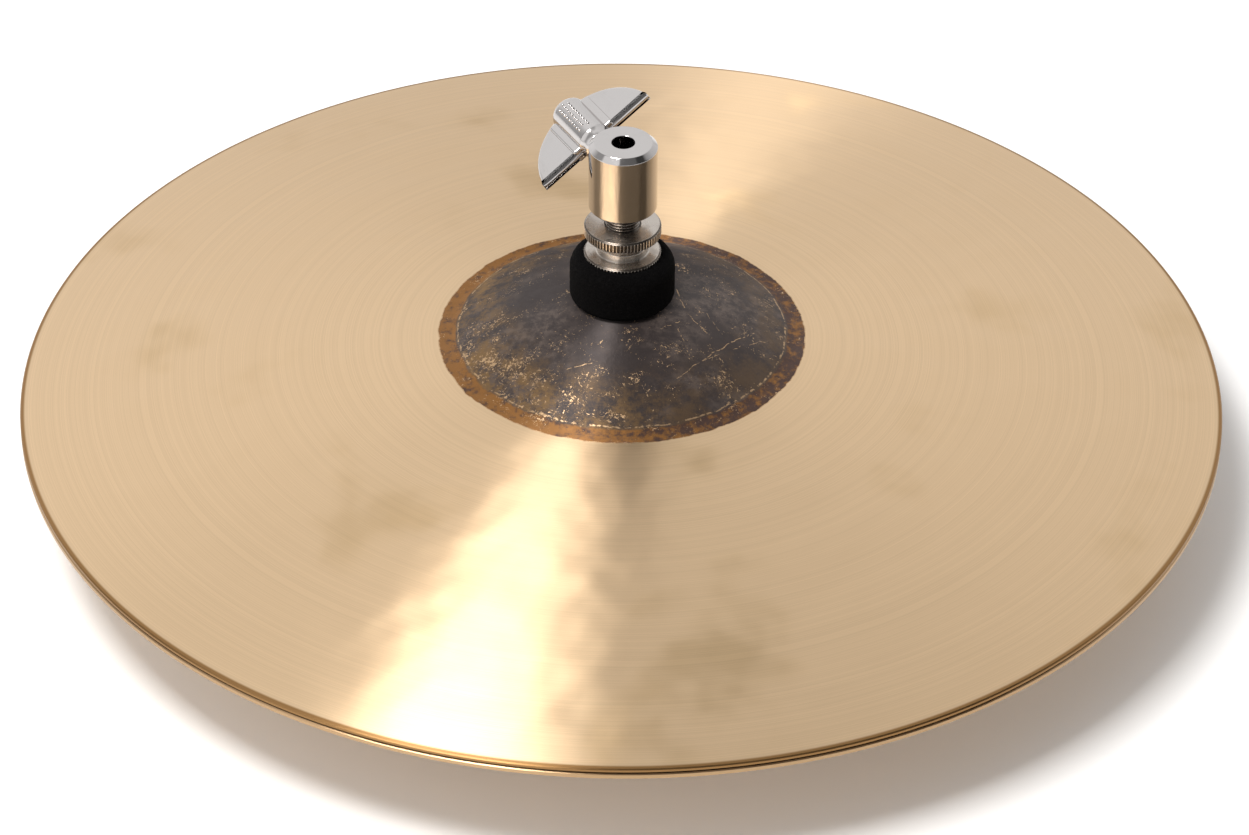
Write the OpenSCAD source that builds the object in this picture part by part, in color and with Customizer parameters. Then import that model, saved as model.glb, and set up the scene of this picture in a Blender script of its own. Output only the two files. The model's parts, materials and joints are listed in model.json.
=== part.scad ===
// Hi hat: a pair of cymbals, and the clutch that carries the top one on a pedal rod.
// Z is up. The origin is the middle of the flat ring on which the bottom cymbal's bell stands.

/* [Cymbals] */
// Diameter of both cymbals
cymbal_d = 356; // [330:1:381]
// Radius of the rough disc at the middle, at its foot on the bow
bow_inner_r = 54; // [52:1:60]
// Rise of the bow from the edge to that foot
bow_rise = 17.6; // [12:0.2:24]
// Radius at which the bell stands on the bow
bell_r = 50; // [44:1:51]
// Height of the bell above the bow
bell_h = 15; // [12:0.5:20]
// Radius of the hollow bend between the bow and the bell
bell_bend_r = 8; // [4:0.5:12]
// Radius of the flat ring round the hole
bell_flat_r = 10; // [9:0.5:12]
// Diameter of the hole at the middle
hole_d = 12.5; // [11.5:0.1:14]
// Thickness of the top cymbal
top_t = 1.3; // [0.9:0.1:1.6]
// Thickness of the bottom cymbal, the heavier of the two
bottom_t = 1.7; // [1:0.1:2]
// Gap between the two edges when the hat is closed
edge_gap = 0.3; // [0.2:0.1:1]

/* [Clutch] */
// Bore for the pedal rod
bore_d = 6.8; // [6.4:0.1:7]
// Diameter of the clutch body
body_d = 20; // [18:0.5:24]
// Height of the clutch body
body_h = 22; // [18:0.5:28]
// Chamfer round the top of the clutch body
body_chamfer = 1.5; // [0.5:0.1:2]
// Thread diameter of the tube
tube_d = 10; // [9.5:0.1:11]
// Length of the tube that is screwed into the clutch body
tube_seat = 8; // [5:0.5:9]
// Length of the tube below the bell of the top cymbal
tube_tail = 24; // [18:0.5:28]
// Bare tube between the jam nut and the clutch body
tube_bare = 6; // [2:0.5:10]

/* [Nuts] */
// Diameter of the three knurled flanges
flange_d = 22.6; // [20:0.2:26]
// Thickness of the lock nut's and the jam nut's flange
flange_t = 3.5; // [2.5:0.1:5]
// Diameter of the boss on those two nuts
boss_d = 15; // [13:0.5:18]
// Length of that boss
boss_h = 2.8; // [2:0.1:4]
// Ridges round each knurled flange
ridge_count = 68; // [48:2:90]
// Depth of a knurl groove
ridge_depth = 0.45; // [0.2:0.05:0.7]
// Height of the bottom nut
bottom_nut_h = 9; // [7:0.5:12]
// Height of the knurled foot of the bottom nut
bottom_foot_h = 4.5; // [3:0.5:6]

/* [Felts] */
// Diameter of both felts
felt_d = 30.8; // [28:0.2:34]
// Thickness of the upper felt under the lock nut
upper_felt_t = 12.3; // [8:0.1:14]
// Height of the upper felt that stands up round the lock nut's flange
felt_lip = 2.5; // [0.5:0.1:3]
// Thickness of the lower felt
lower_felt_t = 5.5; // [4:0.5:8]

/* [Wing screw] */
// Direction of the wing screw, counted from +X
screw_azimuth = 119; // [0:1:360]
// Turn of the wings about the screw, counted from level
wing_turn = 32; // [0:1:90]
// Depth of the screw below the top of the clutch body
screw_depth = 9; // [6:0.5:12]
// Thread diameter of the screw
screw_d = 6; // [5:0.5:6]
// Distance from the rod's axis to the straight edges of the wings
wing_base = 16; // [15:0.5:18]
// Radius of the round edge of the wings
wing_arc_r = 20.3; // [18:0.1:24]
// How far the middle of that round edge lies inside the straight edges
wing_arc_inset = 2.2; // [0:0.1:4]
// Thickness of the wings
wing_t = 3; // [2:0.2:4]
// Diameter of the hub between the wings
hub_d = 11; // [10:0.5:14]
// Length of the hub
hub_l = 18.5; // [16:0.5:24]
// Diameter of the collar between the hub and the clutch body
collar_d = 9.6; // [8:0.2:11]
// Length of that collar
collar_l = 3.4; // [2:0.1:4.5]

/* [Hidden] */

// Radial clearance of a thread or a turning fit
running = 0.05;
// Room round the tube where it is screwed tight into the clutch body
seat_gap = 0.02;
// Room between soft felt and the metal beside it
apart = 0.3;
// Room between flat faces that turn on each other
face = 0.1;
// Rounding of a felt's lower rim
felt_round = 1.5;
// Height of the shoulder of the upper felt
felt_shoulder = 5;
// How many parts each arc is divided into
felt_steps = 6;
bow_steps = 30;
bend_steps = 6;
bell_steps = 20;
$fn = 96;

edge_r = cymbal_d / 2;
hole_r = hole_d / 2;
bore_r = bore_d / 2;
tube_r = tube_d / 2;

// The cymbal's section is three arcs: bow, hollow bend and bell. Heights count from the outer edge.
bow_c = (pow(bow_inner_r, 2) + pow(bow_rise, 2) - pow(edge_r, 2)) / (2 * bow_rise);
bow_r = sqrt(pow(edge_r, 2) + pow(bow_c, 2));
bell_foot = bow_c + sqrt(pow(bow_r, 2) - pow(bell_r, 2));
dome_r = (pow(bell_r, 2) + pow(bell_h, 2)) / (2 * bell_h);
dome_c = bell_foot + bell_h - dome_r;

// The bend touches both arcs from outside, so its middle is a known way from each of theirs.
bend_z = (pow(bow_r + bell_bend_r, 2) - pow(dome_r + bell_bend_r, 2) - pow(bow_c, 2) + pow(dome_c, 2))
    / (2 * (dome_c - bow_c));
bend_x = sqrt(pow(bow_r + bell_bend_r, 2) - pow(bend_z - bow_c, 2));
bow_angle = atan2(bend_x, bend_z - bow_c);
dome_angle = atan2(bend_x, bend_z - dome_c);

flat_z = dome_c + sqrt(pow(dome_r, 2) - pow(bell_flat_r, 2));
function edge_drop(t) = sqrt(pow(bow_r, 2) - pow(edge_r, 2)) - sqrt(pow(bow_r - t, 2) - pow(edge_r, 2));

// Points on an arc about its middle, by their angle from the axis
function arc(middle_x, middle_z, r, from, to, steps) = [for (i = [0:steps])
    let (a = from + (to - from) * i / steps) [middle_x + r * sin(a), middle_z + r * cos(a)]];

// The surface that lies t inside the outer one, from the edge to the hole
function surface_line(t) = concat(
    arc(0, bow_c, bow_r - t, asin(edge_r / (bow_r - t)), bow_angle, bow_steps),
    arc(bend_x, bend_z, bell_bend_r + t, 180 + bow_angle, 180 + dome_angle, bend_steps),
    arc(0, dome_c, dome_r - t, dome_angle, asin(bell_flat_r / (dome_r - t)), bell_steps),
    [[hole_r, flat_z - t]]);

function reversed(list) = [for (i = [len(list) - 1:-1:0]) list[i]];

// Heights above the surface the bottom bell stands on
bottom_edge_z = flat_z;
top_edge_z = bottom_edge_z + edge_drop(bottom_t) + edge_gap + edge_drop(top_t);
bell_top_z = top_edge_z + flat_z;
bell_under_z = bell_top_z - top_t;
lock_nut_z = bell_top_z + upper_felt_t;
boss_top_z = lock_nut_z + flange_t + boss_h;
jam_nut_z = boss_top_z;
jam_top_z = jam_nut_z + boss_h + flange_t;
body_z = jam_top_z + tube_bare;
body_top_z = body_z + body_h;
screw_z = body_top_z - screw_depth;
tube_end_z = bell_under_z - tube_tail;
lower_felt_z = bell_under_z - apart - lower_felt_t;
bottom_nut_z = lower_felt_z - face - bottom_nut_h;

// Place of the shank's tip, which stays clear of the rod's bore
shank_tip = bore_r + 0.2;
// Length of the shank inside the cast head
shank_seat = 10;
// Diameter and length of the turned-down point of the shank
point_d = 4.4;
point_l = 0.8;
collar_end = wing_base - collar_l;

// One cymbal, bell up, with its outer edge at height 0
module cymbal(t) {
    rotate_extrude() polygon(concat(surface_line(0), reversed(surface_line(t))));
}

module bottom_cymbal() {
    color("#c8a878") translate([0, 0, bottom_edge_z]) mirror([0, 0, 1]) cymbal(bottom_t);
}

module top_cymbal() {
    color("#d8bc90") translate([0, 0, top_edge_z]) cymbal(top_t);
}

// Puts what stands along +Y at the screw's place and turn
module along_screw(turn) {
    translate([0, 0, screw_z]) rotate([0, 0, screw_azimuth - 90]) rotate([0, -turn, 0]) children();
}

// A cylinder along +Y
module rod_along_y(r, from, to) {
    translate([0, to, 0]) rotate([90, 0, 0]) cylinder(r = r, h = to - from);
}

module clutch_body() {
    color("#c9c6c4") difference() {
        union() {
            translate([0, 0, body_z]) cylinder(d = body_d, h = body_h - body_chamfer);
            translate([0, 0, body_top_z - body_chamfer])
                cylinder(r1 = body_d / 2, r2 = body_d / 2 - body_chamfer, h = body_chamfer);
        }
        translate([0, 0, body_z - 1]) cylinder(r = bore_r, h = body_h + 2);
        translate([0, 0, body_z - 1]) cylinder(r = tube_r + seat_gap, h = tube_seat + 1);
        along_screw(0) rod_along_y(screw_d / 2 + running, 0, body_d);
    }
}

module threaded_tube() {
    color("#b9b6b4") translate([0, 0, tube_end_z]) difference() {
        cylinder(r = tube_r, h = body_z + tube_seat - tube_end_z - seat_gap);
        translate([0, 0, -1]) cylinder(r = bore_r, h = body_z + body_h);
    }
}

// A disc with straight ridges round it
module knurled_disc(d, h) {
    step = 360 / ridge_count;
    outer = d / 2;
    inner = outer - ridge_depth;
    linear_extrude(h) polygon([for (i = [0:ridge_count - 1]) each [
        for (part = [[0.05, inner], [0.3, outer], [0.7, outer], [0.95, inner]])
            let (a = (i + part[0]) * step) [part[1] * cos(a), part[1] * sin(a)]]]);
}

// A flanged nut, flange down
module flanged_nut() {
    difference() {
        union() {
            knurled_disc(flange_d, flange_t);
            cylinder(d = boss_d, h = flange_t + boss_h);
        }
        translate([0, 0, -1]) cylinder(r = tube_r + running, h = flange_t + boss_h + 2);
    }
}

module lock_nut() {
    color("#bfb8ae") translate([0, 0, lock_nut_z]) flanged_nut();
}

module jam_nut() {
    color("#bfb8ae") translate([0, 0, jam_top_z]) mirror([0, 0, 1]) flanged_nut();
}

// The bottom nut has a plain shoulder under the felt and a knurled foot to turn it by.
module bottom_nut() {
    neck_cut = 5;
    shoulder_cut = 1;
    shoulder_h = 2;
    shoulder_z = bottom_nut_h - shoulder_h;
    color("#bfb8ae") translate([0, 0, bottom_nut_z]) difference() {
        union() {
            knurled_disc(flange_d, bottom_foot_h);
            cylinder(d = flange_d - neck_cut, h = bottom_nut_h);
            translate([0, 0, shoulder_z]) cylinder(d = flange_d - shoulder_cut, h = shoulder_h);
        }
        translate([0, 0, -1]) cylinder(r = tube_r + running, h = bottom_nut_h + 2);
    }
}

// Points on the bell's dome at a set way outside or inside its outer surface, between two radii
function dome_line(way, from_r, to_r) =
    arc(0, dome_c, dome_r + way, asin(from_r / (dome_r + way)), asin(to_r / (dome_r + way)), felt_steps);

// The upper felt lies on the bell and bulges round the lock nut, which is pressed into it.
module upper_felt() {
    inner = tube_r + apart;
    well = flange_d / 2 + apart;
    outer = felt_d / 2;
    floor_z = flat_z + apart;
    well_z = flat_z + upper_felt_t - face;
    lip_z = flat_z + upper_felt_t + felt_lip;
    color("#17171a") translate([0, 0, top_edge_z]) rotate_extrude() polygon(concat(
        [[inner, floor_z]], dome_line(apart, bell_flat_r, outer - felt_round),
        [for (a = [-60:20:0]) [outer - felt_round * (1 - cos(a)), floor_z + felt_round * (1 + sin(a))]],
        [for (a = [0:10:90]) [well + (outer - well) * cos(a), lip_z - felt_shoulder * (1 - sin(a))]],
        [[well, well_z], [inner, well_z]]));
}

// The lower felt is pressed up against the inside of the bell.
module lower_felt() {
    inner = tube_r + apart;
    outer = felt_d / 2;
    bottom = flat_z - top_t - apart - lower_felt_t;
    color("#17171a") translate([0, 0, top_edge_z]) rotate_extrude() polygon(concat(
        [[inner, bottom]],
        [for (a = [-90:22.5:0]) [outer - felt_round * (1 - cos(a)), bottom + felt_round * (1 + sin(a))]],
        dome_line(-top_t - apart, outer, bell_flat_r),
        [[inner, flat_z - top_t - apart]]));
}

module wing_shank() {
    color("#a8a5a3") along_screw(0) union() {
        rod_along_y(screw_d / 2, shank_tip + point_l, wing_base + shank_seat);
        rod_along_y(point_d / 2, shank_tip, shank_tip + point_l + 0.1);
    }
}

module wing_head() {
    color("#d2cfcd") along_screw(wing_turn) difference() {
        union() {
            translate([0, 0, -wing_t / 2]) linear_extrude(wing_t) intersection() {
                translate([0, wing_base - wing_arc_inset]) circle(r = wing_arc_r);
                translate([-wing_arc_r, wing_base]) square([2 * wing_arc_r, wing_arc_r]);
            }
            rod_along_y(hub_d / 2, wing_base, wing_base + hub_l);
            rod_along_y(collar_d / 2, collar_end, wing_base + 1);
        }
        rod_along_y(screw_d / 2 + running, collar_end - 1, wing_base + shank_seat + face);
    }
}

bottom_cymbal();
top_cymbal();
clutch_body();
threaded_tube();
upper_felt();
lock_nut();
jam_nut();
lower_felt();
bottom_nut();
wing_shank();
wing_head();
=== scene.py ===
import json
import math

import bmesh
import bpy
from mathutils import Euler, Matrix, Vector, noise


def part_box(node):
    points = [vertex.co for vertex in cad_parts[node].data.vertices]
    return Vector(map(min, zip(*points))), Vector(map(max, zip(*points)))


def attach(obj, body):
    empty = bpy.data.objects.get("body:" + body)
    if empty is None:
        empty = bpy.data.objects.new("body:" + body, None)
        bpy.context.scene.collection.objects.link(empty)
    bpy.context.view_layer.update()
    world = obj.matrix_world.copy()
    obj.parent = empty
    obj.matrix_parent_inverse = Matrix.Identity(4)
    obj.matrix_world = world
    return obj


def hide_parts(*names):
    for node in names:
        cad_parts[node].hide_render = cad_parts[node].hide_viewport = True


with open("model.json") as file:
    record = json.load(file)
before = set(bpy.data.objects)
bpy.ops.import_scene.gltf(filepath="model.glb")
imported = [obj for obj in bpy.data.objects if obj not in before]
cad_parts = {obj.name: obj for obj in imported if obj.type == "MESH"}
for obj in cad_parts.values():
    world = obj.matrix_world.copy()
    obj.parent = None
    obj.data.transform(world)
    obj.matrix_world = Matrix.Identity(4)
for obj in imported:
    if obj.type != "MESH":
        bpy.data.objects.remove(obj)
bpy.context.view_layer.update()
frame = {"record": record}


# Camera
# It stands 1.5 m from the middle of the closed edges and looks down at them at about 36 degrees.
# The picture is level within half a degree and has no shift.
CAMERA_DISTANCE = 1.5
CAMERA_ELEVATION = math.radians(36.19)
CAMERA_ROLL = math.radians(0.465)
CAMERA_ASIDE = 0.0009
CAMERA_DOWN = 0.01034
LENS = 145.35

edge_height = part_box("top_cymbal")[0][2]
camera = bpy.data.objects.new("camera", bpy.data.cameras.new("camera"))
bpy.context.collection.objects.link(camera)
camera.data.lens = LENS
turned = Euler((math.pi / 2 - CAMERA_ELEVATION, 0, 0)).to_matrix() @ Matrix.Rotation(CAMERA_ROLL, 3, "Z")
aside = turned @ Vector((CAMERA_ASIDE, -CAMERA_DOWN, CAMERA_DISTANCE))
camera.matrix_world = Matrix.Translation(Vector((0, 0, edge_height + 0.0013)) + aside) @ turned.to_4x4()
camera.data.clip_start = 0.01
bpy.context.scene.camera = camera
bpy.context.scene.view_settings.view_transform = "Standard"


# Room
# A plain pale floor under even light from a bright room, with one soft lamp overhead to the left,
# which draws the pale streak across the lathed bronze.
FLOOR_COLOUR = (0.84, 0.84, 0.84, 1)
FLOOR_PALER = (0.86, 0.86, 0.86, 1)
FLOOR_GLOW = 0.08
ROOM_BRIGHT = 1.08
ROOM_DIM = 0.86
ROOM_CEILING = (0.5, 0.5, 0.5, 1)
ROOM_LEVELS = (
    (-125, 0.95), (-104, 0.40), (-84, 0.40), (-78, 1.0), (-18, 1.0), (-12, 0.20), (52, 0.20), (60, 0.07),
    (82, 0.07), (92, 0.50), (115, 0.85), (150, 1.0),
)


def add_node(tree, kind, inputs=None, **settings):
    """A shader node with its settings, and its inputs set to a value or linked from a socket."""
    new = tree.nodes.new(kind)
    for name, value in settings.items():
        setattr(new, name, value)
    for name, value in (inputs or {}).items():
        if isinstance(value, bpy.types.NodeSocket):
            tree.links.new(value, new.inputs[name])
        else:
            new.inputs[name].default_value = value
    return new


def number(tree, operation, first, second=0.0):
    """The result of one sum."""
    return add_node(tree, "ShaderNodeMath", {0: first, 1: second}, operation=operation).outputs[0]


def ramp(tree, value, low, high, to_low=0.0, to_high=1.0):
    """A smooth step from to_low at low to to_high at high."""
    return add_node(
        tree, "ShaderNodeMapRange",
        {"Value": value, "From Min": low, "From Max": high, "To Min": to_low, "To Max": to_high},
        interpolation_type="SMOOTHSTEP",
    ).outputs[0]


def blend_colours(tree, amount, first, second, way="MIX"):
    """Two colours mixed by an amount."""
    return add_node(
        tree, "ShaderNodeMix", {0: amount, 6: first, 7: second}, data_type="RGBA", blend_type=way
    ).outputs[2]


def cloud(tree, where, scale, detail=2.0, roughness=0.5, distortion=0.0):
    """Noise between about 0.25 and 0.75."""
    return add_node(
        tree, "ShaderNodeTexNoise",
        {"Vector": where, "Scale": scale, "Detail": detail, "Roughness": roughness, "Distortion": distortion},
    ).outputs[0]


def new_material(name):
    """An empty node material and its Principled shader."""
    material = bpy.data.materials.new(name)
    material.use_nodes = True
    return material, material.node_tree, material.node_tree.nodes["Principled BSDF"]


def feed(tree, shader, **sockets):
    """Links what changes over the surface, and sets what is the same all over."""
    for name, value in sockets.items():
        socket = shader.inputs[name.replace("_", " ")]
        if isinstance(value, bpy.types.NodeSocket):
            tree.links.new(value, socket)
        else:
            socket.default_value = value


def make_piece(name, shape, material, sharp_from=30, flat_faces=False):
    """Ends a bmesh as a shaded object at the origin, with flat broad faces where flat_faces is set."""
    mesh = bpy.data.meshes.new(name)
    shape.to_mesh(mesh)
    shape.free()
    mesh.materials.append(material)
    mesh.shade_smooth()
    mesh.set_sharp_from_angle(angle=math.radians(sharp_from))
    piece = bpy.data.objects.new(name, mesh)
    bpy.context.collection.objects.link(piece)
    if flat_faces:
        piece.modifiers.new("flat_faces", "WEIGHTED_NORMAL").keep_sharp = True
    return piece


floor_shape = bmesh.new()
bmesh.ops.create_grid(floor_shape, x_segments=1, y_segments=1, size=6)
floor_material, floor_tree, floor_shader = new_material("floor")
floor_spots = cloud(floor_tree, add_node(floor_tree, "ShaderNodeTexCoord").outputs["Object"], 3)
floor_tint = blend_colours(floor_tree, floor_spots, FLOOR_COLOUR, FLOOR_PALER)
feed(floor_tree, floor_shader, Base_Color=floor_tint, Roughness=0.9, Specular_IOR_Level=0.1,
     Emission_Color=(1, 1, 1, 1), Emission_Strength=FLOOR_GLOW)
make_piece("floor", floor_shape, floor_material)

world = bpy.data.worlds.new("room")
bpy.context.scene.world = world
world.use_nodes = True
room_tree = world.node_tree
room_direction = add_node(room_tree, "ShaderNodeTexCoord").outputs["Generated"]
room_axes = add_node(room_tree, "ShaderNodeSeparateXYZ", {0: room_direction})
room_level = ramp(room_tree, room_axes.outputs["X"], -0.5, 0.6, ROOM_BRIGHT, ROOM_DIM)
room_front = number(room_tree, "MULTIPLY", room_axes.outputs["Y"], -1.0)
room_turn = number(room_tree, "ARCTAN2", room_axes.outputs["X"], room_front)
room_turn = number(room_tree, "ADD", number(room_tree, "DIVIDE", room_turn, 2 * math.pi), 0.5)
room_walls = add_node(room_tree, "ShaderNodeValToRGB", {0: room_turn})
room_stops = room_walls.color_ramp.elements
room_stops[0].color = room_stops[1].color = (1, 1, 1, 1)
for degrees, level in ROOM_LEVELS:
    room_stops.new(degrees / 360 + 0.5).color = (level, level, level, 1)
room_ceiling = ramp(room_tree, room_axes.outputs["Z"], 0.92, 1.0)
room_shade = blend_colours(room_tree, room_ceiling, room_walls.outputs["Color"], ROOM_CEILING)
room_back = room_tree.nodes["Background"]
room_tree.links.new(room_shade, room_back.inputs["Color"])
room_tree.links.new(room_level, room_back.inputs["Strength"])


def soft_lamp(name, place, aim, size, power, colour=(1, 1, 1)):
    """A square soft lamp at a place, turned to a point."""
    lamp = bpy.data.lights.new(name, "AREA")
    lamp.shape = "RECTANGLE"
    lamp.size, lamp.size_y = size
    lamp.energy = power
    lamp.color = colour
    holder = bpy.data.objects.new(name, lamp)
    bpy.context.collection.objects.link(holder)
    holder.location = place
    holder.rotation_euler = (Vector(aim) - Vector(place)).to_track_quat("-Z", "Y").to_euler()


soft_lamp("overhead", (-0.57, -0.50, 1.82), (0, 0, 0.05), (0.78, 0.52), 34, (1.0, 0.985, 0.965))


# Bottom cymbal
# A cast bronze disc, hammered, then turned on a lathe outside its raw middle.
# It lies bell down, and the top cymbal closes on its edge.
BOW_RISE = 0.0176
RAW_RADIUS = 0.054
BELL_RADIUS = 0.050
BELL_HEIGHT = 0.015
BEND_RADIUS = 0.008
FLAT_RADIUS = 0.010
HOLE_RADIUS = 0.00625
EDGE_ROUND = 0.00035
RINGS_ROUND = 400
HAMMER_DEPTH = 0.00020
FELT_REACH = 0.016


def arc(middle_r, middle_z, radius, start, stop, steps):
    """Points on an arc, by their angle from the axis."""
    return [
        (middle_r + radius * math.sin(a), middle_z + radius * math.cos(a))
        for a in (start + (stop - start) * i / steps for i in range(steps + 1))
    ]


class Cymbal:
    """The section of a cymbal, with heights counted from its outer edge."""

    def __init__(self, edge_radius):
        self.edge = edge_radius
        self.bow_z = (RAW_RADIUS**2 + BOW_RISE**2 - edge_radius**2) / (2 * BOW_RISE)
        self.bow = math.hypot(edge_radius, self.bow_z)
        foot = self.bow_z + math.sqrt(self.bow**2 - BELL_RADIUS**2)
        self.dome = (BELL_RADIUS**2 + BELL_HEIGHT**2) / (2 * BELL_HEIGHT)
        self.dome_z = foot + BELL_HEIGHT - self.dome
        from_bow = self.bow + BEND_RADIUS
        from_dome = self.dome + BEND_RADIUS
        gap = self.dome_z - self.bow_z
        self.bend_z = (from_bow**2 - from_dome**2 - self.bow_z**2 + self.dome_z**2) / (2 * gap)
        self.bend_r = math.sqrt(from_bow**2 - (self.bend_z - self.bow_z) ** 2)
        self.bow_end = math.atan2(self.bend_r, self.bend_z - self.bow_z)
        self.dome_end = math.atan2(self.bend_r, self.bend_z - self.dome_z)
        self.flat_z = self.dome_z + math.sqrt(self.dome**2 - FLAT_RADIUS**2)

    def surface(self, inside, edge_radius):
        """The line that lies a way inside the outer surface, from the edge to the hole."""
        bow = self.bow - inside
        dome = self.dome - inside
        bend = BEND_RADIUS + inside
        line = arc(0, self.bow_z, bow, math.asin(edge_radius / bow), self.bow_end, 56)
        line += arc(self.bend_r, self.bend_z, bend, math.pi + self.bow_end, math.pi + self.dome_end, 6)[1:]
        line += arc(0, self.dome_z, dome, self.dome_end, math.asin(FLAT_RADIUS / dome), 20)[1:]
        return line + [(HOLE_RADIUS + EDGE_ROUND * (inside == 0), self.flat_z - inside)]

    def outline(self, thickness):
        """The closed section, with a rounded edge and hole."""
        top = self.surface(0, self.edge - EDGE_ROUND)
        under = self.surface(thickness, self.edge - EDGE_ROUND)
        rim = [(self.edge, under[0][1] + EDGE_ROUND * 0.8), (self.edge, top[0][1] - EDGE_ROUND)]
        hole = [(HOLE_RADIUS, self.flat_z - EDGE_ROUND)]
        return rim + top + hole + list(reversed(under))


def lathe(outline, steps):
    """An outline of (radius, height) points turned once about Z. It closes on itself, or on the axis."""
    shape = bmesh.new()
    corners = [shape.verts.new((r, 0, z)) for r, z in outline]
    on_axis = outline[0][0] == 0
    for here, there in zip(corners, corners[1:] + ([] if on_axis else corners[:1])):
        shape.edges.new((here, there))
    bmesh.ops.spin(
        shape, geom=shape.verts[:] + shape.edges[:], cent=(0, 0, 0), axis=(0, 0, 1),
        angle=2 * math.pi, steps=steps, use_merge=True, use_duplicate=False,
    )
    bmesh.ops.remove_doubles(shape, verts=shape.verts[:], dist=1e-7)
    bmesh.ops.recalc_face_normals(shape, faces=shape.faces[:])
    return shape


def rounded(outline, width, steps=3, sharper_than=20):
    """The closed outline with rounded corners, and a point just outside each to keep the faces flat."""
    line = []
    for before, here, after in zip(outline[-1:] + outline[:-1], outline, outline[1:] + outline[:1]):
        come, go = Vector(here) - Vector(before), Vector(after) - Vector(here)
        if come.angle(go) < math.radians(sharper_than):
            line.append(here)
            continue
        start = Vector(here) - come.normalized() * min(width, come.length * 0.3)
        end = Vector(here) + go.normalized() * min(width, go.length * 0.3)
        line.append(tuple(start - come.normalized() * min(width, come.length * 0.15)))
        for i in range(steps + 1):
            t = i / steps
            line.append(tuple(start * (1 - t) ** 2 + Vector(here) * 2 * t * (1 - t) + end * t**2))
        line.append(tuple(end + go.normalized() * min(width, go.length * 0.15)))
    return line


def hammer(shape, edge_radius, depth, place):
    """Shallow hammer dents, with none at the edge or where the felts lie."""
    for corner in shape.verts:
        radius = math.hypot(corner.co.x, corner.co.y)
        at = Vector((corner.co.x, corner.co.y, 0))
        dent = noise.noise(at * 55 + place) + 0.6 * noise.noise(at * 120 + place)
        fade = (1 - (radius / edge_radius) ** 10) * min(1, max(0, radius - FELT_REACH) / FLAT_RADIUS)
        corner.co.z += dent * depth * fade


def new_group(name, inputs, outputs):
    """A shader node group with float inputs that have defaults, and named outputs."""
    group = bpy.data.node_groups.new(name, "ShaderNodeTree")
    group.interface.new_socket("Where", in_out="INPUT", socket_type="NodeSocketVector")
    for label, default in inputs.items():
        socket = group.interface.new_socket(label, in_out="INPUT", socket_type="NodeSocketFloat")
        socket.default_value = default
    for label in outputs:
        group.interface.new_socket(label, in_out="OUTPUT", socket_type="NodeSocketFloat")
    return group, group.nodes.new("NodeGroupInput").outputs, group.nodes.new("NodeGroupOutput").inputs


def use_group(tree, group, where, **values):
    """The group placed in a material with its own values."""
    placed = tree.nodes.new("ShaderNodeGroup")
    placed.node_tree = group
    tree.links.new(where, placed.inputs["Where"])
    for name, value in values.items():
        if isinstance(value, bpy.types.NodeSocket):
            tree.links.new(value, placed.inputs[name.replace("_", " ")])
        else:
            placed.inputs[name.replace("_", " ")].default_value = value
    return placed.outputs


def lathe_turned(tree, shader):
    """Draws the shine out across rings about the Z axis."""
    tangent = add_node(tree, "ShaderNodeTangent", direction_type="RADIAL", axis="Z")
    tree.links.new(tangent.outputs[0], shader.inputs["Tangent"])


turned_lines, turned_in, turned_out = new_group(
    "turned_lines", {"Fine": 3200.0}, ["Height", "Tone", "Radius"])
turned_axes = add_node(turned_lines, "ShaderNodeSeparateXYZ", {0: turned_in["Where"]}).outputs
across = number(turned_lines, "POWER", turned_axes["X"], 2.0)
along = number(turned_lines, "POWER", turned_axes["Y"], 2.0)
from_axis = number(turned_lines, "SQRT", number(turned_lines, "ADD", across, along))
ring_fine = number(turned_lines, "MULTIPLY", from_axis, turned_in["Fine"])
ring_noise = add_node(
    turned_lines, "ShaderNodeTexNoise", {"W": ring_fine, "Scale": 1.0, "Detail": 2.0, "Roughness": 0.6},
    noise_dimensions="1D",
).outputs[0]
ring_broad = add_node(
    turned_lines, "ShaderNodeTexNoise",
    {"W": number(turned_lines, "MULTIPLY", ring_fine, 0.16), "Scale": 1.0, "Detail": 3.0, "Roughness": 0.65},
    noise_dimensions="1D",
).outputs[0]
turned_lines.links.new(ring_noise, turned_out["Height"])
turned_lines.links.new(ring_broad, turned_out["Tone"])
turned_lines.links.new(from_axis, turned_out["Radius"])

specks, speck_in, speck_out = new_group("specks", {"Size": 900.0, "Share": 0.62, "Field": 0.0}, ["Mask"])
speck_cells = add_node(
    specks, "ShaderNodeTexNoise",
    {"Vector": speck_in["Where"], "Scale": speck_in["Size"], "Detail": 4.0, "Roughness": 0.7,
     "Distortion": 0.9},
).outputs[0]
speck_fields = add_node(
    specks, "ShaderNodeTexNoise",
    {"Vector": speck_in["Where"], "Scale": number(specks, "MULTIPLY", speck_in["Size"], 0.12), "Detail": 3.0},
).outputs[0]
speck_sum = number(specks, "ADD", speck_cells, number(specks, "MULTIPLY", speck_fields, 0.5))
speck_sum = number(specks, "ADD", speck_sum, speck_in["Field"])
speck_level = number(specks, "SUBTRACT", speck_sum, number(specks, "ADD", speck_in["Share"], 0.25))
specks.links.new(ramp(specks, speck_level, 0.0, 0.04), speck_out["Mask"])

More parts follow.
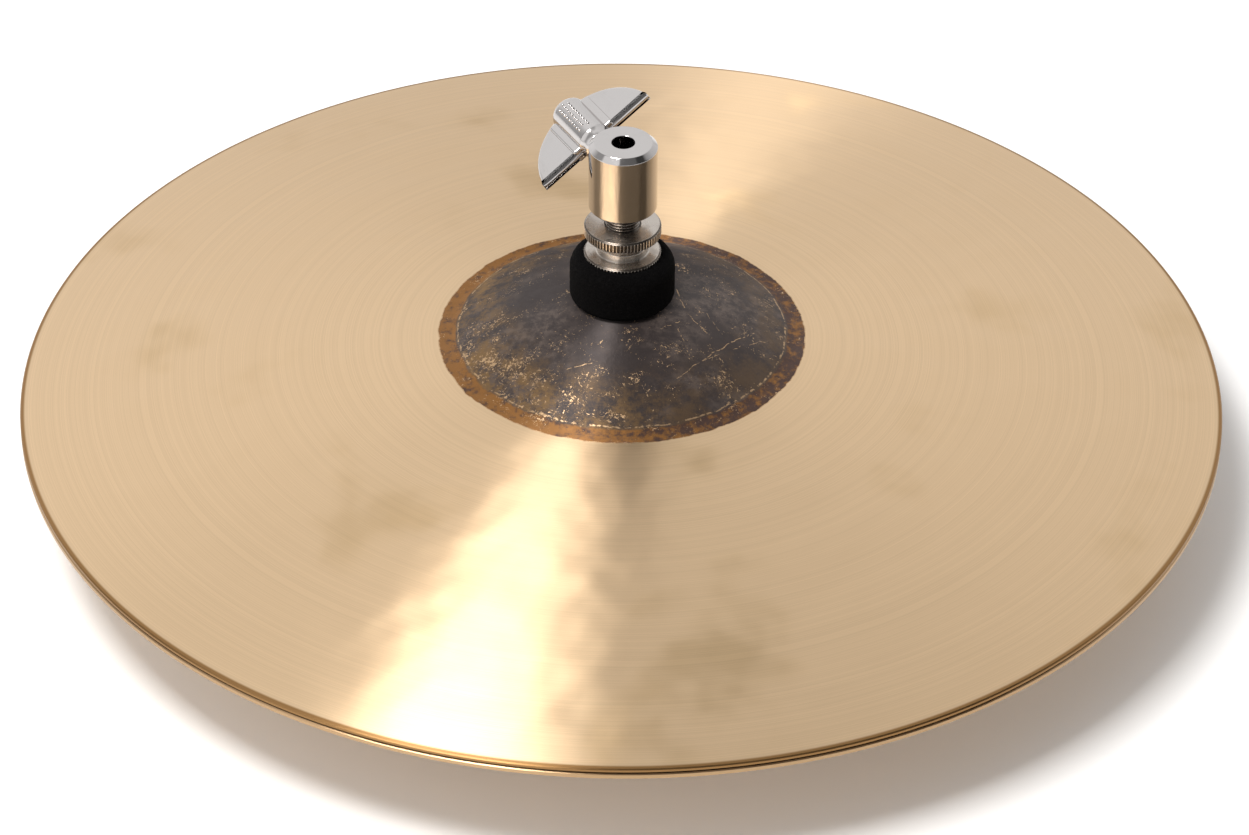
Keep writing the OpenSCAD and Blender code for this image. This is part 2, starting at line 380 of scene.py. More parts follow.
SCRATCH_INPUTS = {"Middle X": 0.0, "Middle Y": 0.0, "Turn": 0.0, "Half Length": 0.01, "Half Width": 0.0001}
scratch, scratch_in, scratch_out = new_group("scratch", SCRATCH_INPUTS, ["Mask"])
scratch_axes = add_node(scratch, "ShaderNodeSeparateXYZ", {0: scratch_in["Where"]}).outputs
off_x = number(scratch, "SUBTRACT", scratch_axes["X"], scratch_in["Middle X"])
off_y = number(scratch, "SUBTRACT", scratch_axes["Y"], scratch_in["Middle Y"])
cosine = number(scratch, "COSINE", scratch_in["Turn"])
sine = number(scratch, "SINE", scratch_in["Turn"])
along_it = number(
    scratch, "ADD", number(scratch, "MULTIPLY", off_x, cosine), number(scratch, "MULTIPLY", off_y, sine))
beside_it = number(
    scratch, "SUBTRACT", number(scratch, "MULTIPLY", off_y, cosine), number(scratch, "MULTIPLY", off_x, sine))
in_length = number(scratch, "LESS_THAN", number(scratch, "ABSOLUTE", along_it), scratch_in["Half Length"])
widths_off = number(scratch, "DIVIDE", number(scratch, "ABSOLUTE", beside_it), scratch_in["Half Width"])
in_width = ramp(scratch, widths_off, 0.5, 1.0, 1.0, 0.0)
scratch.links.new(number(scratch, "MULTIPLY", in_length, in_width), scratch_out["Mask"])

PALE_BRONZE = (0.74, 0.533, 0.328, 1)
GOLD_BRONZE = (0.64, 0.44, 0.225, 1)
EDGE_BRONZE = (0.27, 0.135, 0.040, 1)
RAW_DARK = (0.058, 0.046, 0.044, 1)
RAW_LIGHT = (0.148, 0.115, 0.100, 1)
RAW_OLIVE = (0.22, 0.13, 0.055, 1)
RAW_RUST = (0.28, 0.128, 0.037, 1)
RAW_PLUM = (0.085, 0.050, 0.040, 1)
RAW_GOLD = (0.58, 0.385, 0.215, 1)
CREASE_RADIUS = 0.0483
SCRATCHES = (
    (18.5, -0.5, -75, 6.0, 0.18), (23.5, -10.0, -48, 5.0, 0.14), (19.0, -17.5, -70, 4.5, 0.14),
    (15.0, -12.5, 35, 3.5, 0.12), (28.0, -8.0, -55, 4.5, 0.10), (26.0, -22.0, 48, 21.0, 0.16),
    (34.0, -16.0, 40, 13.0, 0.10), (-10.0, -28.0, 12, 5.0, 0.14),
)


def product(tree, *values):
    """Several numbers multiplied."""
    result = values[0]
    for value in values[1:]:
        result = number(tree, "MULTIPLY", result, value)
    return result


def bronze(name, edge_radius, place, edge_dark):
    """Lathed bronze with a raw middle, whose torn border the lathe left."""
    material, tree, shader = new_material(name)
    where = add_node(tree, "ShaderNodeTexCoord").outputs["Object"]
    shifted = add_node(tree, "ShaderNodeMapping", {"Vector": where, "Location": place}).outputs[0]
    axes = add_node(tree, "ShaderNodeSeparateXYZ", {0: where}).outputs
    lines = use_group(tree, turned_lines, where)
    radius = lines["Radius"]
    torn = product(tree, number(tree, "SUBTRACT", cloud(tree, shifted, 150, 5, 0.7), 0.5), 0.0022)
    torn_radius = number(tree, "ADD", radius, torn)
    raw = ramp(tree, torn_radius, RAW_RADIUS - 0.00012, RAW_RADIUS + 0.00012, 1.0, 0.0)
    left = ramp(tree, axes["X"], 0.038, -0.030)

    # Lathed bow
    stain = ramp(tree, cloud(tree, shifted, 20, 3, 0.55), 0.56, 0.76)
    stained = blend_colours(tree, product(tree, stain, 0.45), PALE_BRONZE, GOLD_BRONZE)
    tone = ramp(tree, lines["Tone"], 0.3, 0.7, 0.975, 1.02)
    fine_tone = ramp(tree, lines["Height"], 0.25, 0.75, 0.955, 1.035)
    both_tones = product(tree, tone, fine_tone)
    grey_tones = add_node(
        tree, "ShaderNodeCombineColor", {0: both_tones, 1: both_tones, 2: both_tones}).outputs[0]
    lathed = blend_colours(tree, 1.0, stained, grey_tones, "MULTIPLY")
    at_edge = ramp(tree, radius, edge_radius - 0.0016, edge_radius - 0.0008)
    lathed = blend_colours(tree, product(tree, at_edge, edge_dark), lathed, EDGE_BRONZE)
    burnt = product(tree, ramp(tree, torn_radius, RAW_RADIUS + 0.0005, RAW_RADIUS, 0.0, 1.0), 0.4)
    lathed = blend_colours(tree, burnt, lathed, RAW_RUST)

    # Raw bell, warmer toward its foot
    mottle = ramp(tree, cloud(tree, shifted, 240, 8, 0.8), 0.40, 0.62)
    soot = ramp(tree, cloud(tree, shifted, 42, 3, 0.6), 0.40, 0.62)
    raw_tone = blend_colours(tree, product(tree, mottle, soot), RAW_DARK, RAW_LIGHT)
    patches = ramp(tree, cloud(tree, shifted, 100, 9, 0.82), 0.42, 0.60)
    warm = product(tree, ramp(tree, radius, 0.027, 0.047), ramp(tree, left, 0.0, 1.0, 0.3, 1.0), patches)
    raw_tone = blend_colours(tree, warm, raw_tone, RAW_OLIVE)

    # Foot of the bell, a rusty band outside the crease
    foot = ramp(tree, torn_radius, CREASE_RADIUS + 0.0002, CREASE_RADIUS + 0.0010)
    rust_patches = number(tree, "ADD", cloud(tree, shifted, 260, 6, 0.75), product(tree, left, 0.13))
    band = blend_colours(tree, ramp(tree, rust_patches, 0.46, 0.66), RAW_PLUM, RAW_RUST)
    raw_tone = blend_colours(tree, foot, raw_tone, band)

    # Bright metal where the skin is knocked off: specks toward the front, the crease, and scratches
    toward = number(tree, "ADD", product(tree, axes["X"], -0.70), product(tree, axes["Y"], -0.71))
    in_front = ramp(tree, number(tree, "DIVIDE", toward, number(tree, "MAXIMUM", radius, 0.001)), 0.50, 0.98)
    field = product(tree, in_front, ramp(tree, radius, 0.030, 0.044), ramp(tree, foot, 0.0, 1.0, 0.064, 0.02))
    gold_specks = use_group(tree, specks, shifted, Size=1250.0, Share=0.655, Field=field)["Mask"]
    wriggle = add_node(
        tree, "ShaderNodeTexNoise", {"Vector": shifted, "Scale": 330.0, "Detail": 4.0}).outputs["Color"]
    wriggled = add_node(
        tree, "ShaderNodeVectorMath", {0: wriggle, 1: (0.0022, 0.0022, 0.0), 2: where},
        operation="MULTIPLY_ADD",
    ).outputs[0]
    broken = ramp(tree, cloud(tree, shifted, 600, 3, 0.6), 0.44, 0.56)
    bright = gold_specks
    for x, y, turn, length, width in SCRATCHES:
        mark = use_group(
            tree, scratch, wriggled, Middle_X=x / 1000, Middle_Y=y / 1000, Turn=math.radians(turn),
            Half_Length=length / 1000, Half_Width=width / 1000,
        )["Mask"]
        bright = number(tree, "MAXIMUM", bright, product(tree, mark, broken, 0.8))
    crease_off = number(tree, "ABSOLUTE", number(tree, "SUBTRACT", torn_radius, CREASE_RADIUS))
    crease = product(tree, ramp(tree, crease_off, 0.00010, 0.00032, 0.75, 0.0), broken)
    bright = product(tree, number(tree, "MAXIMUM", bright, crease), raw)
    raw_tone = blend_colours(tree, bright, raw_tone, RAW_GOLD)

    colour = blend_colours(tree, raw, lathed, raw_tone)
    raw_rough = number(tree, "SUBTRACT", ramp(tree, mottle, 0.0, 1.0, 0.52, 0.66), product(tree, bright, 0.2))
    bow_rough = ramp(tree, stain, 0.0, 1.0, 0.275, 0.33)
    rough = add_node(tree, "ShaderNodeMix", {0: raw, 2: bow_rough, 3: raw_rough}, data_type="FLOAT").outputs[0]
    metal = number(tree, "ADD", ramp(tree, raw, 0.0, 1.0, 1.0, 0.55), product(tree, bright, 0.25))

    grooves = product(tree, lines["Height"], ramp(tree, raw, 0.0, 1.0, 1.0, 0.0))
    pits = product(tree, cloud(tree, shifted, 700, 4, 0.7), raw, 2.2)
    skin = product(tree, number(tree, "SUBTRACT", raw, product(tree, bright, 0.5)), 1.5)
    height = number(tree, "ADD", number(tree, "ADD", grooves, pits), skin)
    bump = add_node(tree, "ShaderNodeBump", {"Height": height, "Strength": 0.4, "Distance": 0.00006})
    feed(tree, shader, Base_Color=colour, Roughness=rough, Metallic=metal, Normal=bump.outputs[0],
         Anisotropic=1.0, Anisotropic_Rotation=0.25)
    lathe_turned(tree, shader)
    return material


bottom_low, bottom_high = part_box("bottom_cymbal")
edge_radius = (bottom_high[0] - bottom_low[0]) / 2
section = Cymbal(edge_radius)
BOTTOM_THICKNESS = 0.0017
bottom_edge_z = bottom_low[2] + section.flat_z
bottom_shape = lathe(section.outline(BOTTOM_THICKNESS), RINGS_ROUND)
hammer(bottom_shape, edge_radius, HAMMER_DEPTH, Vector((7, 3, 0)))
bmesh.ops.transform(
    bottom_shape, verts=bottom_shape.verts[:],
    matrix=Matrix.Translation((0, 0, bottom_edge_z)) @ Matrix.Scale(-1, 4, (0, 0, 1)),
)
bmesh.ops.reverse_faces(bottom_shape, faces=bottom_shape.faces[:])
bottom_piece = make_piece(
    "bottom_cymbal_bronze", bottom_shape, bronze("bottom_bronze", edge_radius, (0.31, 0.17, 0.0), 0.5))
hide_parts("bottom_cymbal")
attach(bottom_piece, "bottom")


# Top cymbal
# The same bronze disc, a little thinner, bell up. Its raw bell is nearly black beside the lathed bow.
TOP_THICKNESS = 0.0013
top_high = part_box("top_cymbal")[1]
top_edge_z = top_high[2] - section.flat_z
top_shape = lathe(section.outline(TOP_THICKNESS), RINGS_ROUND)
hammer(top_shape, edge_radius, HAMMER_DEPTH, Vector((0, 0, 0)))
bmesh.ops.translate(top_shape, verts=top_shape.verts[:], vec=(0, 0, top_edge_z))
top_piece = make_piece("top_cymbal_bronze", top_shape, bronze("top_bronze", edge_radius, (0.0, 0.0, 0.0), 0.9))
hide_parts("top_cymbal")
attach(top_piece, "top")


# Felts
# Two washers of dense black wool felt, one over the bell and one inside it.
# The upper one bulges round the lock nut that is screwed down into it.
FELT_BLACK = (0.0014, 0.0013, 0.0014, 1)
FELT_GREY = (0.0125, 0.0115, 0.0115, 1)
FELT_ROUND = 0.0022
FELT_SHOULDER = 0.0050
FELT_GAP = 0.00015
FELT_POINTS_APART = 0.0006
NAP = 0.00012


def felt(name):
    """Pressed wool, dull and a little hairy."""
    material, tree, shader = new_material(name)
    where = add_node(tree, "ShaderNodeTexCoord").outputs["Object"]
    tufts = cloud(tree, where, 1500, 4, 0.75, 0.8)
    fibres = cloud(tree, where, 5200, 2, 0.6, 1.5)
    tint = blend_colours(tree, ramp(tree, fibres, 0.45, 0.75), FELT_BLACK, FELT_GREY)
    height = number(tree, "ADD", tufts, number(tree, "MULTIPLY", fibres, 0.5))
    bump = add_node(tree, "ShaderNodeBump", {"Height": height, "Strength": 0.8, "Distance": 0.0003})
    rough = ramp(tree, tufts, 0.3, 0.7, 0.85, 1.0)
    feed(tree, shader, Base_Color=tint, Roughness=rough, Normal=bump.outputs[0],
         Sheen_Weight=0.008, Sheen_Roughness=0.5, Specular_IOR_Level=0.02)
    return material


def roughen(shape, depth, grain):
    """Moves every point a little along its normal, for the nap of felt."""
    shape.normal_update()
    for corner in shape.verts:
        corner.co += corner.normal * noise.noise(corner.co * grain) * depth


def evenly(outline, step):
    """The same closed outline with points no further apart than step."""
    spaced = []
    for here, there in zip(outline, outline[1:] + outline[:1]):
        parts = max(1, math.ceil(math.dist(here, there) / step))
        spaced += [
            (here[0] + (there[0] - here[0]) * i / parts, here[1] + (there[1] - here[1]) * i / parts)
            for i in range(parts)
        ]
    return spaced


felt_material = felt("felt")
upper_low, upper_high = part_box("upper_felt")
felt_radius = (upper_high[0] - upper_low[0]) / 2
tube_low, tube_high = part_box("threaded_tube")
tube_radius = (tube_high[0] - tube_low[0]) / 2
nut_low, nut_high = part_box("lock_nut")
flange_radius = (nut_high[0] - nut_low[0]) / 2
felt_hole = tube_radius + 0.0003
dome_top = top_edge_z + section.dome_z
over_bell = section.dome + FELT_GAP
lip_radius = flange_radius + 0.0001
felt_line = [(felt_hole, top_high[2] + FELT_GAP), (FLAT_RADIUS, top_high[2] + FELT_GAP)]
felt_line += arc(
    0, dome_top, over_bell, FLAT_RADIUS / over_bell, (felt_radius - FELT_ROUND) / over_bell, 3)[1:]
rim_low = felt_line[-1][1]
felt_line += arc(
    felt_radius - FELT_ROUND, rim_low + FELT_ROUND, FELT_ROUND, math.radians(150), math.radians(90), 5)
felt_line += [
    (lip_radius + (felt_radius - lip_radius) * math.cos(a), upper_high[2] - FELT_SHOULDER * (1 - math.sin(a)))
    for a in (math.radians(10 * i) for i in range(10))
]
felt_line += [(lip_radius, nut_low[2]), (felt_hole, nut_low[2])]
felt_shape = lathe(evenly(felt_line, FELT_POINTS_APART), 180)
roughen(felt_shape, NAP, 900)
upper_piece = make_piece("upper_felt_washer", felt_shape, felt_material, 60)
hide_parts("upper_felt")
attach(upper_piece, "felt_above")

lower_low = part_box("lower_felt")[0]
under_bell = section.dome - TOP_THICKNESS - FELT_GAP
lower_line = [(felt_hole, lower_low[2])]
lower_line += arc(felt_radius - FELT_ROUND, lower_low[2] + FELT_ROUND, FELT_ROUND, math.pi, math.pi / 2, 6)
lower_line += arc(0, dome_top, under_bell, felt_radius / under_bell, FLAT_RADIUS / under_bell, 4)
lower_line += [(felt_hole, top_high[2] - TOP_THICKNESS - FELT_GAP)]
lower_shape = lathe(evenly(lower_line, FELT_POINTS_APART), 180)
roughen(lower_shape, NAP, 900)
lower_piece = make_piece("lower_felt_washer", lower_shape, felt_material, 60)
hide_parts("lower_felt")
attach(lower_piece, "felt_below")


# Nuts
# Turned from bar and nickel plated. Two like nuts are locked boss to boss above the felt,
# and a longer one holds the cymbal from below. Their flanges have straight ridges to turn them by.
RIDGES = 68
RIDGE_DEPTH = 0.00042
NICKEL = (0.54, 0.49, 0.44, 1)
NICKEL_DULL = (0.36, 0.31, 0.27, 1)
# Painted shade: a dark colour laid into the knurl grooves and thread roots, where shade falls.
GROOVE_SHADE = (0.045, 0.028, 0.016, 1)
FLANGE_THICK = 0.0035
FLANGE_CHAMFER = 0.0005
BOSS_RADIUS = 0.0075
NUT_ROUND = 0.00012
BORE_LEAD = 0.0004
BOSS_CHAMFER = 0.0005
STEP_ROUND = 0.0003


def turned_metal(name, bright, dull, roughness, grain, root, crest):
    """Plated metal with fine turned rings, a few dull marks, and painted shade in the grooves between two
    radii.
    """
    material, tree, shader = new_material(name)
    where = add_node(tree, "ShaderNodeTexCoord").outputs["Object"]
    lines = use_group(tree, turned_lines, where, Fine=grain)
    marks = ramp(tree, cloud(tree, where, 260, 4, 0.6), 0.45, 0.75)
    tint = blend_colours(tree, number(tree, "MULTIPLY", marks, 0.6), bright, dull)
    # Painted shade: darkens the metal between the root and crest radii, so the knurl grooves and thread roots
    # read as shaded.
    groove_shaded = product(tree, number(tree, "GREATER_THAN", lines["Radius"], root - 0.00006),
                    ramp(tree, lines["Radius"], (root + crest) / 2, crest, 0.85, 0.0))
    tint = blend_colours(tree, groove_shaded, tint, GROOVE_SHADE)
    rough = ramp(tree, marks, 0.0, 1.0, roughness, roughness + 0.12)
    bump = add_node(tree, "ShaderNodeBump", {"Height": lines["Height"], "Strength": 0.25, "Distance": 0.00002})
    feed(tree, shader, Base_Color=tint, Roughness=rough, Metallic=1.0, Normal=bump.outputs[0],
         Anisotropic=0.8, Anisotropic_Rotation=0.25)
    lathe_turned(tree, shader)
    return material


def soften(shape, width, segments=2, sharper_than=25):
    """Rounds every edge that is sharper than an angle in degrees."""
    limit = math.radians(sharper_than)
    edges = [e for e in shape.edges if len(e.link_faces) == 2 and e.calc_face_angle() > limit]
    bmesh.ops.bevel(
        shape, geom=edges, offset=width, offset_type="OFFSET", affect="EDGES", segments=segments,
        profile=0.5, material=-1, clamp_overlap=True,
    )


def cut_ridges(shape, low, high):
    """Draws every second pair of points on the flange's wall inwards, between two heights."""
    for corner in shape.verts:
        radius = math.hypot(corner.co.x, corner.co.y)
        if radius > flange_radius - 0.00005 and low < corner.co.z < high:
            step = round(math.atan2(corner.co.y, corner.co.x) / (2 * math.pi) * RIDGES * 4)
            if step % 4 in (0, 1):
                corner.co.x *= 1 - RIDGE_DEPTH / radius
                corner.co.y *= 1 - RIDGE_DEPTH / radius


def knurled(outline, low, high):
    """A turned nut with ridges between two heights."""
    shape = lathe(outline, RIDGES * 4)
    cut_ridges(shape, low, high)
    return shape


nickel = turned_metal(
    "nickel", NICKEL, NICKEL_DULL, 0.26, 9000.0, flange_radius - RIDGE_DEPTH, flange_radius)
nut_bore = tube_radius + 0.00005
nut_height = nut_high[2] - nut_low[2]
root = flange_radius - FLANGE_CHAMFER
nut_line = [
    (nut_bore + BORE_LEAD, 0), (root, 0), (flange_radius, FLANGE_CHAMFER),
    (flange_radius, FLANGE_THICK - FLANGE_CHAMFER), (root, FLANGE_THICK),
    (BOSS_RADIUS + STEP_ROUND, FLANGE_THICK), (BOSS_RADIUS, FLANGE_THICK + STEP_ROUND),
    (BOSS_RADIUS, nut_height - BOSS_CHAMFER), (BOSS_RADIUS - BOSS_CHAMFER, nut_height),
    (nut_bore + BORE_LEAD, nut_height), (nut_bore, nut_height - BORE_LEAD), (nut_bore, BORE_LEAD),
]


def place_nut(name, node, upside_down):
    """One of the two flanged nuts, in its node's place."""
    low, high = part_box(node)
    shape = knurled(rounded(nut_line, NUT_ROUND), 0, FLANGE_THICK)
    if upside_down:
        bmesh.ops.transform(shape, verts=shape.verts[:], matrix=Matrix.Rotation(math.pi, 4, "X"))
    bmesh.ops.translate(shape, verts=shape.verts[:], vec=(0, 0, high[2] if upside_down else low[2]))
    piece = make_piece(name, shape, nickel)
    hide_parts(node)
    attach(piece, "lock_nuts")


place_nut("lock_nut_turned", "lock_nut", False)
place_nut("jam_nut_turned", "jam_nut", True)

FOOT_HEIGHT = 0.0045
NECK_RADIUS = 0.0088
SHOULDER_RADIUS = 0.0108
SHOULDER_HEIGHT = 0.002
foot_low, foot_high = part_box("bottom_nut")
foot_tall = foot_high[2] - foot_low[2]
foot_line = [
    (nut_bore + BORE_LEAD, 0), (root, 0), (flange_radius, FLANGE_CHAMFER),
    (flange_radius, FOOT_HEIGHT - FLANGE_CHAMFER), (root, FOOT_HEIGHT),
    (NECK_RADIUS + STEP_ROUND, FOOT_HEIGHT), (NECK_RADIUS, FOOT_HEIGHT + STEP_ROUND),
    (NECK_RADIUS, foot_tall - SHOULDER_HEIGHT), (SHOULDER_RADIUS - STEP_ROUND, foot_tall - SHOULDER_HEIGHT),
    (SHOULDER_RADIUS, foot_tall - SHOULDER_HEIGHT + STEP_ROUND), (SHOULDER_RADIUS, foot_tall - STEP_ROUND),
    (SHOULDER_RADIUS - STEP_ROUND, foot_tall), (nut_bore + BORE_LEAD, foot_tall),
    (nut_bore, foot_tall - BORE_LEAD), (nut_bore, BORE_LEAD),
]
foot_shape = knurled(rounded(foot_line, NUT_ROUND), 0, FOOT_HEIGHT)
bmesh.ops.translate(foot_shape, verts=foot_shape.verts[:], vec=(0, 0, foot_low[2]))
foot_piece = make_piece("bottom_nut_turned", foot_shape, nickel)
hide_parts("bottom_nut")
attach(foot_piece, "nut_below")


# Threaded tube
# A steel tube with a fine thread down its whole length. It is screwed tight into the clutch body,
# runs through both felts, the top cymbal and the three nuts, and lets the pedal rod through.
THREAD_PITCH = 0.001
THREAD_DEPTH = 0.00045
STEEL = (0.46, 0.43, 0.40, 1)
STEEL_DULL = (0.30, 0.27, 0.24, 1)
ROD_BORE_RADIUS = 0.0034

steel = turned_metal("steel", STEEL, STEEL_DULL, 0.24, 12000.0, tube_radius - THREAD_DEPTH, tube_radius)


def threaded(radius, start, turns):
    """The outline of some turns of thread, from a start upwards."""
    line = []
    for turn in range(turns):
        foot = start + turn * THREAD_PITCH
        line += [
            (radius - THREAD_DEPTH, foot), (radius - THREAD_DEPTH, foot + 0.12 * THREAD_PITCH),
            (radius, foot + 0.46 * THREAD_PITCH), (radius, foot + 0.64 * THREAD_PITCH),
        ]
    return line


turns = int((tube_high[2] - tube_low[2]) / THREAD_PITCH)
tube_line = [(ROD_BORE_RADIUS, tube_high[2]), (ROD_BORE_RADIUS, tube_low[2])]
tube_line += threaded(tube_radius, tube_low[2], turns)
tube_line += [
    (tube_radius - THREAD_DEPTH, tube_low[2] + turns * THREAD_PITCH),
    (tube_radius - THREAD_DEPTH, tube_high[2]),
]
tube_piece = make_piece("tube_threaded", lathe(tube_line, 96), steel)
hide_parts("threaded_tube")
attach(tube_piece, "clutch")


# Clutch body
# A thick chromed steel cylinder that the pedal rod slides through. It is turned, and chamfered at the top,
# and a threaded hole in its side takes the wing screw.
CHROME = (0.57, 0.545, 0.535, 1)
CHROME_WORN = (0.50, 0.475, 0.46, 1)
BORE_CHAMFER = 0.00012
BODY_CHAMFER = 0.0015
FOOT_CHAMFER = 0.0006
SEAT_GAP = 0.00002
SIDE_HOLE_RADIUS = 0.00306


def chrome(name, roughness):
    """Bright plating with faint smears and hairline scratches."""
    material, tree, shader = new_material(name)
    where = add_node(tree, "ShaderNodeTexCoord").outputs["Object"]
    smear = ramp(tree, cloud(tree, where, 180, 4, 0.65, 0.5), 0.45, 0.85)
    stretched = add_node(tree, "ShaderNodeMapping", {"Vector": where, "Scale": (1.0, 1.0, 0.06)}).outputs[0]
    hairlines = ramp(tree, cloud(tree, stretched, 2600, 2, 0.5), 0.66, 0.72)
    tint = blend_colours(tree, number(tree, "MULTIPLY", smear, 0.35), CHROME, CHROME_WORN)
    rough = number(tree, "ADD", ramp(tree, smear, 0.0, 1.0, roughness, roughness + 0.07),
                   number(tree, "MULTIPLY", hairlines, 0.12))
    wave = number(tree, "ADD", cloud(tree, where, 90, 2), number(tree, "MULTIPLY", hairlines, -0.15))
    bump = add_node(tree, "ShaderNodeBump", {"Height": wave, "Strength": 0.06, "Distance": 0.0001})
    feed(tree, shader, Base_Color=tint, Roughness=rough, Metallic=1.0, Normal=bump.outputs[0])
    return material


def cut_out(piece, shape, sharp_from):
    """Takes a closed shape out of a piece, for good."""
    cutter = bpy.data.objects.new("cutter", bpy.data.meshes.new("cutter"))
    shape.to_mesh(cutter.data)
    shape.free()
    bpy.context.collection.objects.link(cutter)
    cut = piece.modifiers.new("cut", "BOOLEAN")
    cut.operation = "DIFFERENCE"
    cut.solver = "EXACT"
    cut.object = cutter
    whole = piece.data
    piece.data = bpy.data.meshes.new_from_object(piece.evaluated_get(bpy.context.evaluated_depsgraph_get()))
    piece.modifiers.remove(cut)
    piece.data.set_sharp_from_angle(angle=math.radians(sharp_from))
    bpy.data.meshes.remove(whole)
    bpy.data.meshes.remove(cutter.data)


polished = chrome("chrome", 0.05)
body_low, body_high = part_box("clutch_body")
body_radius = (body_high[0] - body_low[0]) / 2
seat_top = tube_high[2] + 0.0001
body_line = [
    (tube_radius + BORE_LEAD, body_low[2]),
    (body_radius - FOOT_CHAMFER, body_low[2]), (body_radius, body_low[2] + FOOT_CHAMFER),
    (body_radius, body_high[2] - BODY_CHAMFER), (body_radius - BODY_CHAMFER, body_high[2]),
    (ROD_BORE_RADIUS + BORE_CHAMFER, body_high[2]), (ROD_BORE_RADIUS, body_high[2] - BORE_CHAMFER),
    (ROD_BORE_RADIUS, seat_top), (tube_radius + SEAT_GAP, seat_top),
    (tube_radius + SEAT_GAP, body_low[2] + BORE_LEAD),
]
body_shape = lathe(rounded(body_line, 0.00014, 4), 160)
body_piece = make_piece("clutch_body_chromed", body_shape, polished, 80)

wing_joint = next(j for j in frame["record"]["behaviour"]["joints"] if j["name"] == "wing_turn")
outward = Vector(wing_joint["axis"]).normalized()
screw_height = wing_joint["pos_m"][2]
side_hole = bmesh.new()
bmesh.ops.create_cone(
    side_hole, cap_ends=True, segments=64, radius1=SIDE_HOLE_RADIUS, radius2=SIDE_HOLE_RADIUS,
    depth=2 * body_radius,
    matrix=Matrix.Translation(outward * body_radius * 1.1 + Vector((0, 0, screw_height)))
    @ outward.to_track_quat("Z", "Y").to_matrix().to_4x4(),
)
cut_out(body_piece, side_hole, 80)
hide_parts("clutch_body")
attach(body_piece, "clutch")


# Wing screw
# A steel shank cast into a chromed head. The head is a half-moon plate with a thick hub down its middle,
# and it stands off the clutch body on a short collar.
WING_TURN = math.radians(32)
WING_THICK = 0.0030
WING_ARC = 0.0203
WING_INSET = 0.0022
HUB_RADIUS = 0.0055
HUB_LENGTH = 0.0185
HUB_ROUND = 0.0024
COLLAR_RADIUS = 0.0048
COLLAR_LENGTH = 0.0034
COLLAR_CHAMFER = 0.0008
HEAD_BORE_RADIUS = 0.00305
HEAD_BORE_DEPTH = 0.0102
TIP_ROUND = 0.0026
RIM_ROUND = 0.00138
LEDGE_ROUND = 0.0007
DOT_RADIUS = 0.0005
LEDGE_WIDTH = 0.0019
LEDGE_HEIGHT = 0.0008
GRIP_ROWS = 3
GRIP_DOTS = 9

sideways = outward.cross(Vector((0, 0, 1)))
stand = Matrix((sideways, outward, Vector((0, 0, 1)))).transposed().to_4x4()
screw_place = Matrix.Translation(wing_joint["pos_m"]) @ stand
wing_place = screw_place @ Matrix.Rotation(-WING_TURN, 4, "Y")
lay_along = Matrix.Rotation(-math.pi / 2, 4, "X")


def lathe_along(outline, steps):
    """A turned shape that stands along +Y, with its lengths counted along Y."""
    shape = lathe(outline, steps)
    bmesh.ops.transform(shape, verts=shape.verts[:], matrix=lay_along)
    return shape


def join_shapes(shapes):
    """Several closed shapes as one."""
    whole = bmesh.new()
    for shape in shapes:
        loose = bpy.data.meshes.new("loose")
        shape.to_mesh(loose)
        shape.free()
        whole.from_mesh(loose)
        bpy.data.meshes.remove(loose)
    return whole


plate = bmesh.new()
bmesh.ops.create_circle(plate, cap_ends=True, segments=160, radius=WING_ARC)
bmesh.ops.translate(plate, verts=plate.verts[:], vec=(0, -WING_INSET, -WING_THICK / 2))
bmesh.ops.bisect_plane(
    plate, geom=plate.verts[:] + plate.edges[:] + plate.faces[:], plane_co=(0, 0, 0), plane_no=(0, -1, 0),
    clear_outer=True,
)
grown = bmesh.ops.extrude_face_region(plate, geom=plate.faces[:])
bmesh.ops.translate(
    plate, verts=[v for v in grown["geom"] if isinstance(v, bmesh.types.BMVert)], vec=(0, 0, WING_THICK))
bmesh.ops.recalc_face_normals(plate, faces=plate.faces[:])
tips = [e for e in plate.edges if abs(e.verts[0].co.z - e.verts[1].co.z) > WING_THICK / 2
        and e.verts[0].co.y < 0.0001]
bmesh.ops.bevel(plate, geom=tips, offset=TIP_ROUND, offset_type="OFFSET", affect="EDGES", segments=6,
                profile=0.5, material=-1)
rims = [e for e in plate.edges if abs(e.verts[0].co.z - e.verts[1].co.z) < 1e-7 and len(e.link_faces) == 2
        and e.calc_face_angle() > 1.0]
bmesh.ops.bevel(plate, geom=rims, offset=RIM_ROUND, offset_type="OFFSET", affect="EDGES", segments=5,
                profile=0.5, material=-1)

ledge = bmesh.new()
bmesh.ops.create_cube(ledge, size=1)
ledge_size = (2 * (HUB_RADIUS + LEDGE_WIDTH), HUB_LENGTH - 0.003, WING_THICK + 2 * LEDGE_HEIGHT)
bmesh.ops.scale(ledge, verts=ledge.verts[:], vec=ledge_size)
bmesh.ops.translate(ledge, verts=ledge.verts[:], vec=(0, ledge_size[1] / 2 + 0.0002, 0))
soften(ledge, LEDGE_ROUND, 4)

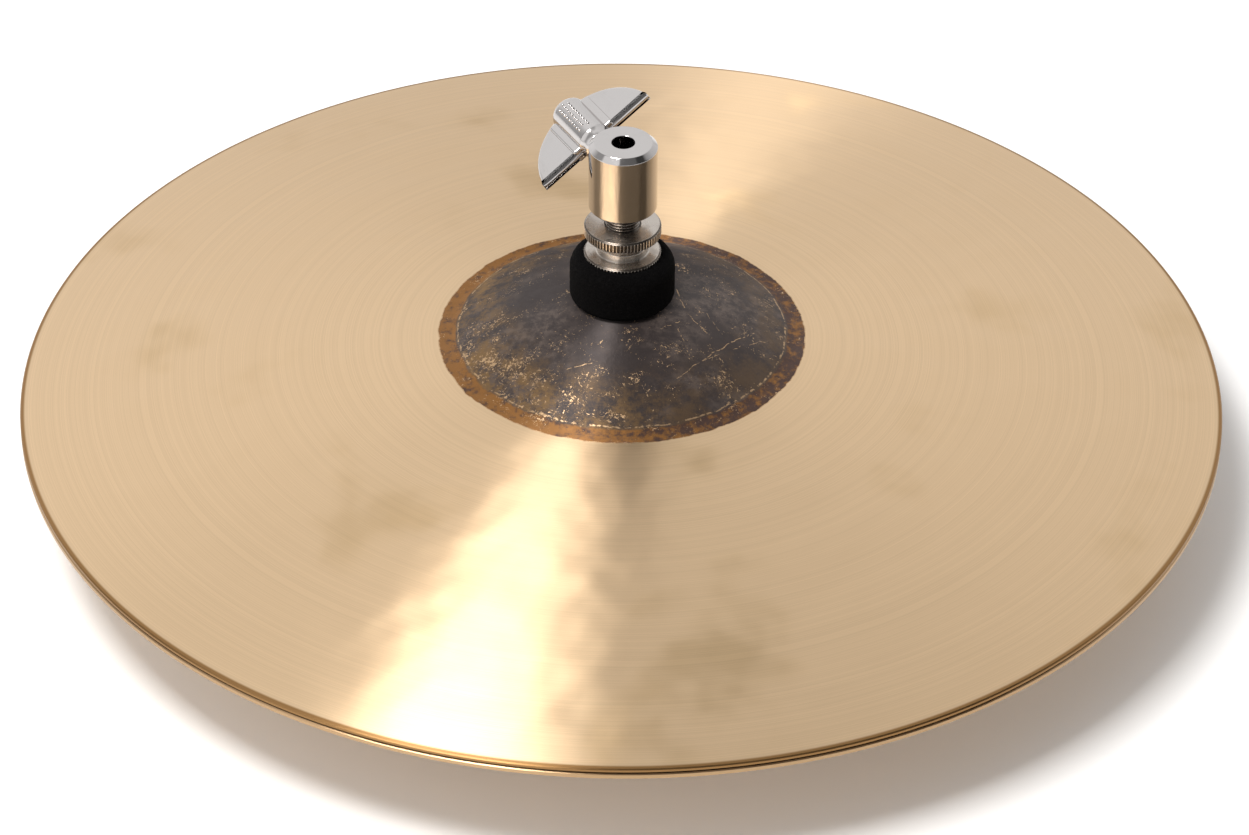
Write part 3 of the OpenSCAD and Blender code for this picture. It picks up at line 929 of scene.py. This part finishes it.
hub_line = [(0, HEAD_BORE_DEPTH), (HEAD_BORE_RADIUS, HEAD_BORE_DEPTH), (HEAD_BORE_RADIUS, -0.0001)]
hub_line += [(HUB_RADIUS - 0.0007, -0.0001), (HUB_RADIUS, 0.0006)]
hub_line += arc(HUB_RADIUS - HUB_ROUND, HUB_LENGTH - HUB_ROUND, HUB_ROUND, math.pi / 2, 0, 7)
hub_line += [(0, HUB_LENGTH)]
hub = lathe_along(hub_line, 72)
collar_line = [
    (HEAD_BORE_RADIUS, -COLLAR_LENGTH), (COLLAR_RADIUS - COLLAR_CHAMFER, -COLLAR_LENGTH),
    (COLLAR_RADIUS, COLLAR_CHAMFER - COLLAR_LENGTH), (COLLAR_RADIUS, -0.0012),
    (COLLAR_RADIUS + 0.0006, 0.0002), (HEAD_BORE_RADIUS, 0.0002),
]
collar = lathe_along(collar_line, 64)

dots = bmesh.new()
for side in (0, math.pi):
    for row in range(GRIP_ROWS):
        for place in range(GRIP_DOTS):
            around = Matrix.Rotation(side + math.radians(17) * (row - 1), 4, "Y")
            along_hub = 0.0028 + 0.0015 * place + 0.00075 * (row % 2)
            put = around @ Matrix.Translation((0, along_hub, HUB_RADIUS - 0.00008))
            bmesh.ops.create_uvsphere(dots, u_segments=10, v_segments=6, radius=DOT_RADIUS, matrix=put)

head_shape = join_shapes([plate, ledge, hub, collar, dots])
bmesh.ops.transform(head_shape, verts=head_shape.verts[:], matrix=wing_place)
cast_chrome = chrome("cast_chrome", 0.13)
head_piece = make_piece("wing_head_cast", head_shape, cast_chrome, 50, flat_faces=True)
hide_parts("wing_head")
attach(head_piece, "wing")

tip_y = (Vector((outward.x, outward.y, 0)) * 0.0036 - Vector(wing_joint["pos_m"])).dot(outward)
SHANK_RADIUS = 0.003
SHANK_SEAT = 0.010
shank_line = [(0, tip_y), (0.0022, tip_y), (0.0022, tip_y + 0.0006)]
shank_line += threaded(SHANK_RADIUS, tip_y + 0.001, int((SHANK_SEAT - tip_y - 0.001) / THREAD_PITCH))
shank_line += [(SHANK_RADIUS - THREAD_DEPTH, SHANK_SEAT), (0, SHANK_SEAT)]
shank_shape = lathe_along(shank_line, 48)
bmesh.ops.transform(shank_shape, verts=shank_shape.verts[:], matrix=screw_place)
shank_piece = make_piece("wing_shank_threaded", shank_shape, steel)
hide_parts("wing_shank")
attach(shank_piece, "screw_shank")
